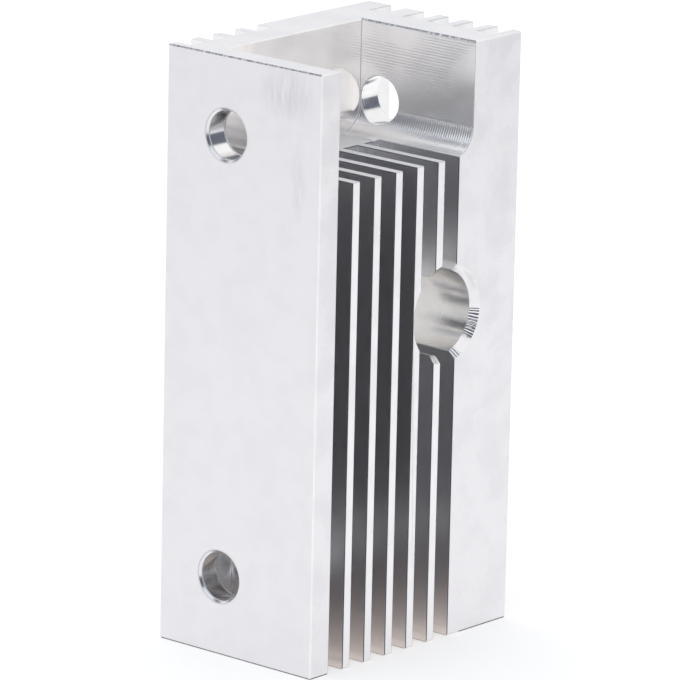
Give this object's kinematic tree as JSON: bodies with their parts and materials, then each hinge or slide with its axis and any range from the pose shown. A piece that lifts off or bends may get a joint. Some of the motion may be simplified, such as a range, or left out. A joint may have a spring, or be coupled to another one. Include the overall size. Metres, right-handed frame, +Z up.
{
  "type": "hotend heat sink",
  "caption": "Machined aluminium block that cools a printer hot end: slotted fins on one side, an open pocket at one end, a smooth cross bore and two screw holes.",
  "frame": {"origin": "middle of the lower end's outline, on the surface that the block stands on", "axes": "+Z up the block's length; +X out of the slotted face; -Y out of the flat plate face that is screwed to the motor"},
  "size_m": [0.0138, 0.0208, 0.042],
  "materials": {
    "machined_aluminium": "bright, fine milled"
  },
  "bodies": {
    "root": {"heat_sink_block": "machined_aluminium"}
  },
  "joints": []
}
